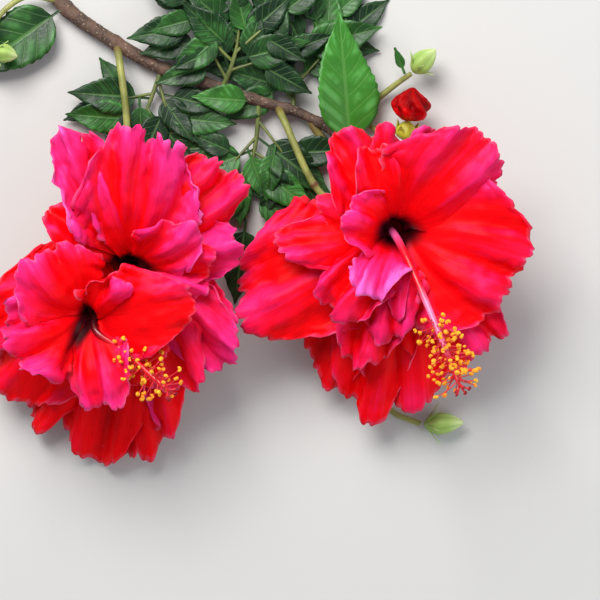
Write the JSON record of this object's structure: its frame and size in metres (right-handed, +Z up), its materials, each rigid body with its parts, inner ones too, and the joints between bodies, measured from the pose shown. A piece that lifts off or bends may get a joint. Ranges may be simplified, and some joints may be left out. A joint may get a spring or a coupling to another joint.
{
  "type": "cut flowering branch of a double red hibiscus",
  "caption": "Cut branch of a double red hibiscus, lying down with its open blooms facing up, with a spent bloom, buds and leaves on a woody stem.",
  "frame": {"origin": "on the ground under the middle of the branch's outline, as it lies", "axes": "+Z up from the ground that it lies on, out of the open blooms; +X from the woody stem's cut end towards its tip; +Y from the blooms towards the woody stem"},
  "size_m": [0.2582, 0.2422, 0.0876],
  "materials": {
    "petal": "soft red petal, satin",
    "stamen": "satin",
    "calyx": "matte green",
    "bud": "satin green",
    "leaf": "semi-gloss green",
    "stalk": "matte yellow-green",
    "bark": "rough brown bark"
  },
  "bodies": {
    "root": {"main_stem": "bark", "right_bloom": "petal", "left_bloom": "petal", "right_column": "stamen", "left_column": "stamen", "right_calyx": "calyx", "left_calyx": "calyx", "upper_twig": "stalk", "spent_stalk": "stalk", "lower_twig": "stalk", "right_pedicel": "stalk", "left_pedicel": "stalk", "side_stalk": "stalk", "upper_bud": "bud", "lower_bud": "bud", "side_bud": "bud", "spent_calyx": "calyx", "spent_bloom": "petal", "front_leaf": "leaf", "top_left_leaf": "leaf", "pale_leaf": "leaf", "small_leaf": "leaf", "leaves_above_left_bloom": "leaf", "leaves_upper_middle": "leaf", "leaves_between": "leaf", "leaves_upper_right": "leaf"}
  },
  "joints": []
}
